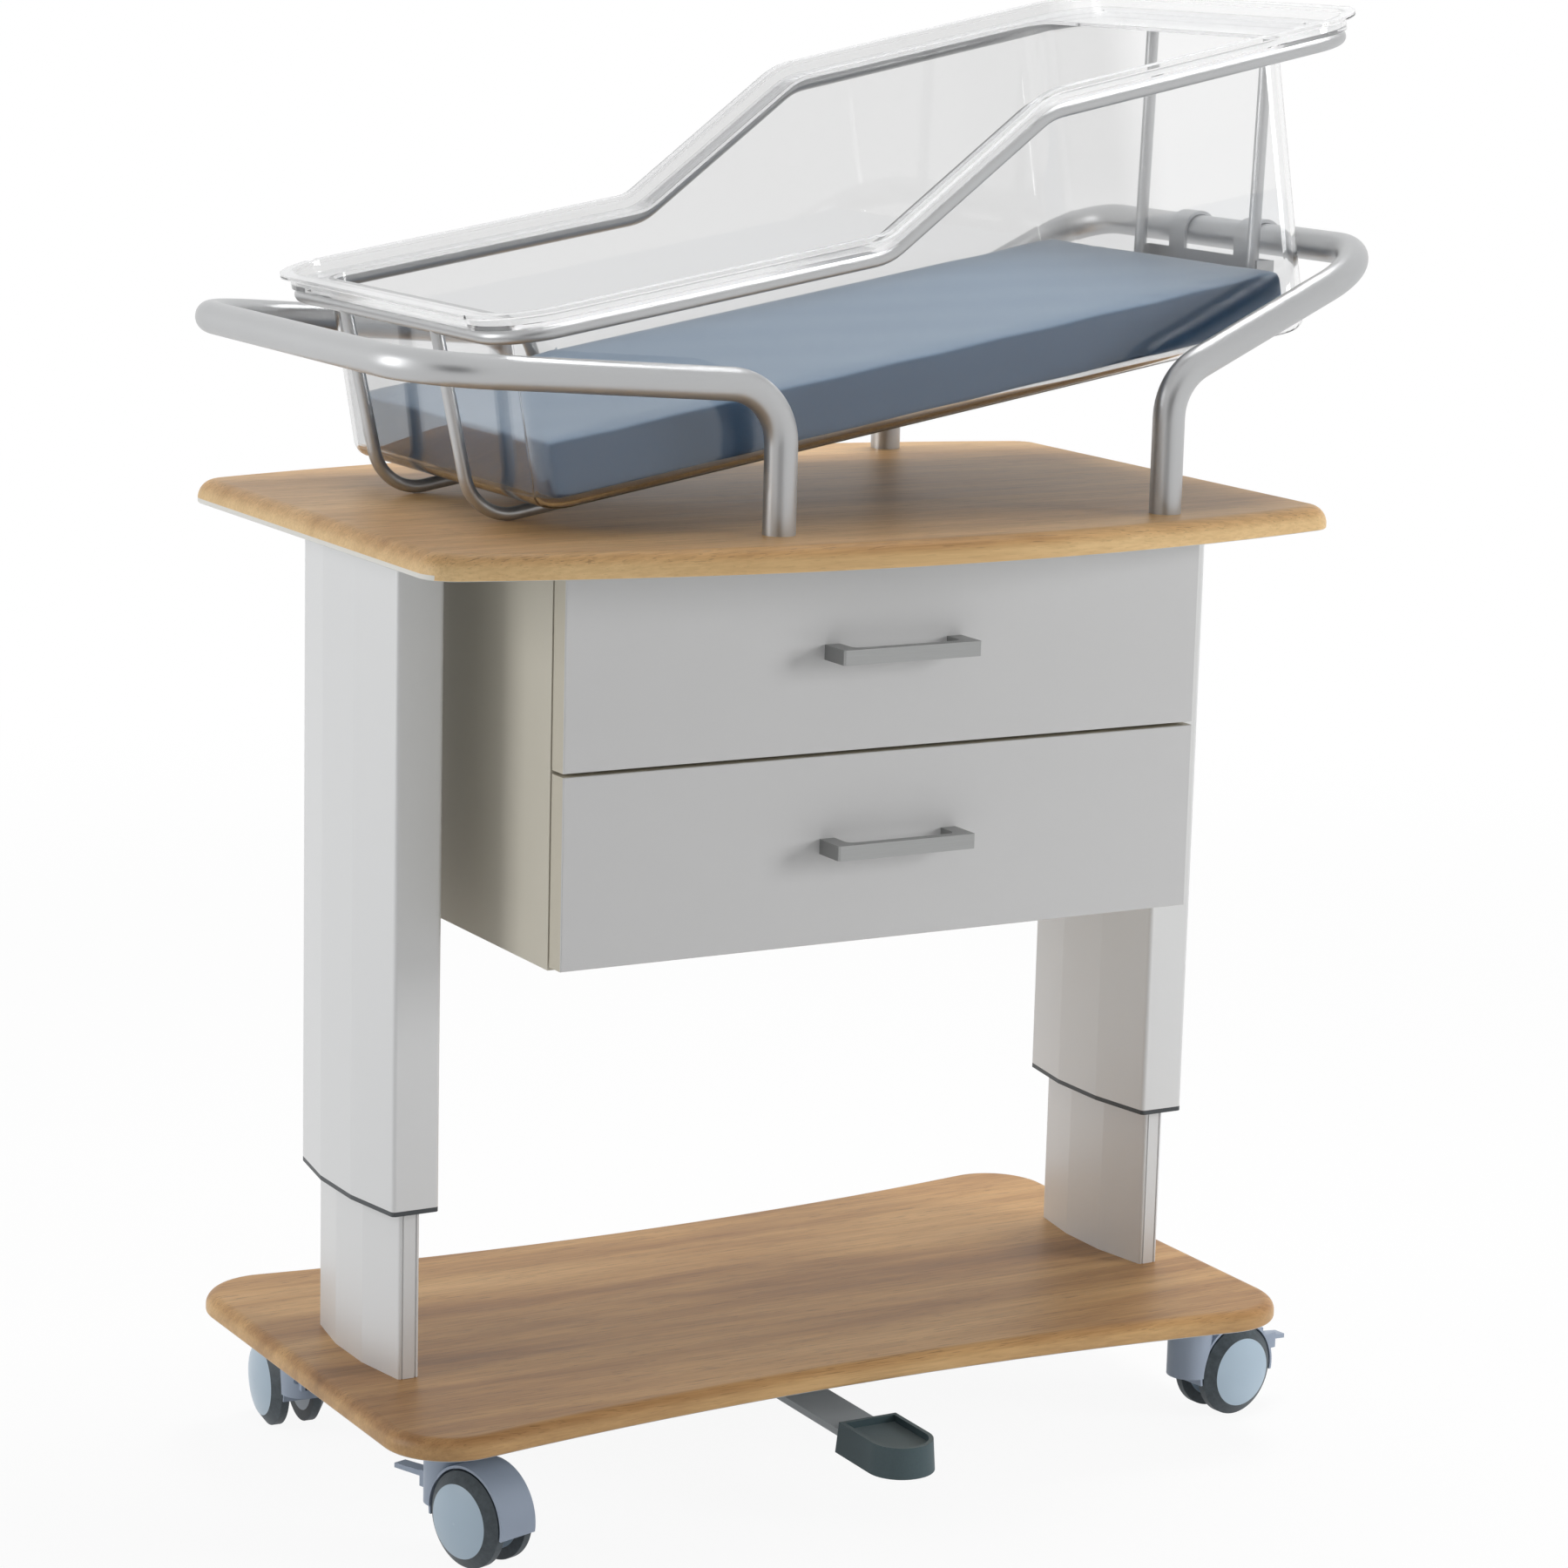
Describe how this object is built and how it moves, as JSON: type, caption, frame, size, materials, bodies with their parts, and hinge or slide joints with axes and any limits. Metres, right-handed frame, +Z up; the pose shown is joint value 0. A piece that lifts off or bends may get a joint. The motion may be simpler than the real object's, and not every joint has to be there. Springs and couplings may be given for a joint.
{
  "type": "hospital bassinet",
  "caption": "Hospital bassinet: clear tub in a tilted tube cradle on a height-adjustable twin-column stand with drawers, rails, castors and a foot pedal.",
  "frame": {"origin": "on the floor, under the middle of the base board", "axes": "+Z up, +X towards the head end, -Y towards the drawer fronts"},
  "size_m": [0.936, 0.608, 1.2556],
  "materials": {
    "wood": "satin laminated beech or walnut decor",
    "laminate_front": "satin pale grey laminate",
    "laminate_body": "satin cream laminate",
    "drawer_white": "matt white board",
    "zinc_steel": "zinc plated",
    "satin_aluminium": "satin anodised",
    "grey_paint": "smooth silver powder coat",
    "dark_plastic": "fine matt",
    "clear_acrylic": "clear polished acrylic",
    "mattress_cover": "wipe-clean coated cover",
    "castor_plastic": "satin moulded",
    "castor_tyre": "matt",
    "dark_steel": "dark grey powder coat",
    "pedal_rubber": "matt"
  },
  "bodies": {
    "stand": {"base_board": "wood", "chassis_beam": "dark_steel", "chassis_cross_plates": "dark_steel", "castor_swivel_plates": "zinc_steel", "column_foot_plate_foot": "zinc_steel", "column_foot_plate_head": "zinc_steel", "inner_column_foot": "grey_paint", "inner_column_head": "grey_paint", "spring_tube_foot": "zinc_steel", "spring_tube_head": "zinc_steel", "pedal_bracket": "dark_steel", "pedal_pin": "zinc_steel"},
    "lift": {"outer_column_foot": "grey_paint", "outer_column_head": "grey_paint", "column_collar_foot": "dark_plastic", "column_collar_head": "dark_plastic", "column_head_plate_foot": "zinc_steel", "column_head_plate_head": "zinc_steel", "spring_rod_foot": "zinc_steel", "spring_rod_head": "zinc_steel", "table_board": "wood", "cabinet_carcass": "laminate_body", "cabinet_runner_lower": "zinc_steel", "cabinet_runner_upper": "zinc_steel", "foot_rail": "grey_paint", "head_rail": "grey_paint", "rail_bolts": "zinc_steel"},
    "cradle": {"cradle_rim": "grey_paint", "cradle_rods": "grey_paint", "cradle_hook_plate": "grey_paint"},
    "tub": {"tub": "clear_acrylic"},
    "mattress": {"mattress": "mattress_cover"},
    "pedal": {"pedal_arm": "dark_steel", "pedal_pad": "pedal_rubber"},
    "drawer_lower": {"drawer_front_lower": "laminate_front", "drawer_box_lower": "drawer_white", "drawer_runner_lower": "zinc_steel", "handle_lower": "satin_aluminium"},
    "drawer_upper": {"drawer_front_upper": "laminate_front", "drawer_box_upper": "drawer_white", "drawer_runner_upper": "zinc_steel", "handle_upper": "satin_aluminium"},
    "castor_foot_front": {"castor_hood_foot_front": "castor_plastic"},
    "castor_wheels_foot_front": {"castor_wheel_foot_front": "castor_plastic", "castor_tyres_foot_front": "castor_tyre"},
    "castor_brake_foot_front": {"castor_brake_foot_front": "castor_plastic"},
    "castor_foot_back": {"castor_hood_foot_back": "castor_plastic"},
    "castor_wheels_foot_back": {"castor_wheel_foot_back": "castor_plastic", "castor_tyres_foot_back": "castor_tyre"},
    "castor_brake_foot_back": {"castor_brake_foot_back": "castor_plastic"},
    "castor_head_front": {"castor_hood_head_front": "castor_plastic"},
    "castor_wheels_head_front": {"castor_wheel_head_front": "castor_plastic", "castor_tyres_head_front": "castor_tyre"},
    "castor_brake_head_front": {"castor_brake_head_front": "castor_plastic"},
    "castor_head_back": {"castor_hood_head_back": "castor_plastic"},
    "castor_wheels_head_back": {"castor_wheel_head_back": "castor_plastic", "castor_tyres_head_back": "castor_tyre"},
    "castor_brake_head_back": {"castor_brake_head_back": "castor_plastic"}
  },
  "joints": [
    {"name": "height_adjustment", "type": "slide", "parent": "stand", "child": "lift", "axis": [0, 0, 1], "range_m": [-0.125, 0.155]},
    {"name": "drawer_lower_slide", "type": "slide", "parent": "lift", "child": "drawer_lower", "axis": [0, -1, 0], "range_m": [0, 0.28]},
    {"name": "drawer_upper_slide", "type": "slide", "parent": "lift", "child": "drawer_upper", "axis": [0, -1, 0], "range_m": [0, 0.28]},
    {"name": "cradle_lift", "type": "hinge", "parent": "lift", "child": "cradle", "pos_m": [-0.2903, 0, 0.8837], "axis": [0, -1, 0], "range_deg": [0, 12]},
    {"name": "tub_lift_out", "type": "slide", "parent": "cradle", "child": "tub", "axis": [-0.1702, 0, 0.9854], "range_m": [0, 0.3]},
    {"name": "mattress_lift_out", "type": "slide", "parent": "tub", "child": "mattress", "axis": [-0.1702, 0, 0.9854], "range_m": [0, 0.3]},
    {"name": "pedal_press", "type": "hinge", "parent": "stand", "child": "pedal", "pos_m": [0.007, 0, 0.05], "axis": [1, 0, 0], "range_deg": [0, 7], "stiffness_Nm_per_rad": 6, "springref_deg": -17.19},
    {"name": "castor_swivel_foot_front", "type": "hinge", "parent": "stand", "child": "castor_foot_front", "pos_m": [-0.364, -0.148, 0.09], "axis": [0, 0, 1], "continuous": true},
    {"name": "castor_roll_foot_front", "type": "hinge", "parent": "castor_foot_front", "child": "castor_wheels_foot_front", "pos_m": [-0.35242, -0.18837, 0.0405], "axis": [0.9613, 0.2756, 0], "continuous": true},
    {"name": "castor_brake_press_foot_front", "type": "hinge", "parent": "castor_foot_front", "child": "castor_brake_foot_front", "pos_m": [-0.36869, -0.13166, 0.056], "axis": [-0.9613, -0.2756, 0], "range_deg": [0, 15]},
    {"name": "castor_swivel_foot_back", "type": "hinge", "parent": "stand", "child": "castor_foot_back", "pos_m": [-0.364, 0.148, 0.09], "axis": [0, 0, 1], "continuous": true},
    {"name": "castor_roll_foot_back", "type": "hinge", "parent": "castor_foot_back", "child": "castor_wheels_foot_back", "pos_m": [-0.36107, 0.1899, 0.0405], "axis": [-0.9976, 0.0698, 0], "continuous": true},
    {"name": "castor_brake_press_foot_back", "type": "hinge", "parent": "castor_foot_back", "child": "castor_brake_foot_back", "pos_m": [-0.36519, 0.13104, 0.056], "axis": [0.9976, -0.0698, 0], "range_deg": [0, 15]},
    {"name": "castor_swivel_head_front", "type": "hinge", "parent": "stand", "child": "castor_head_front", "pos_m": [0.372, -0.148, 0.09], "axis": [0, 0, 1], "continuous": true},
    {"name": "castor_roll_head_front", "type": "hinge", "parent": "castor_head_front", "child": "castor_wheels_head_front", "pos_m": [0.41348, -0.14143, 0.0405], "axis": [-0.1564, 0.9877, 0], "continuous": true},
    {"name": "castor_brake_press_head_front", "type": "hinge", "parent": "castor_head_front", "child": "castor_brake_head_front", "pos_m": [0.46287, -0.13361, 0.056], "axis": [-0.1564, 0.9877, 0], "range_deg": [0, 15]},
    {"name": "castor_swivel_head_back", "type": "hinge", "parent": "stand", "child": "castor_head_back", "pos_m": [0.372, 0.148, 0.09], "axis": [0, 0, 1], "continuous": true},
    {"name": "castor_roll_head_back", "type": "hinge", "parent": "castor_head_back", "child": "castor_wheels_head_back", "pos_m": [0.41006, 0.16575, 0.0405], "axis": [-0.4226, 0.9063, 0], "continuous": true},
    {"name": "castor_brake_press_head_back", "type": "hinge", "parent": "castor_head_back", "child": "castor_brake_head_back", "pos_m": [0.45538, 0.18688, 0.056], "axis": [-0.4226, 0.9063, 0], "range_deg": [0, 15]}
  ]
}
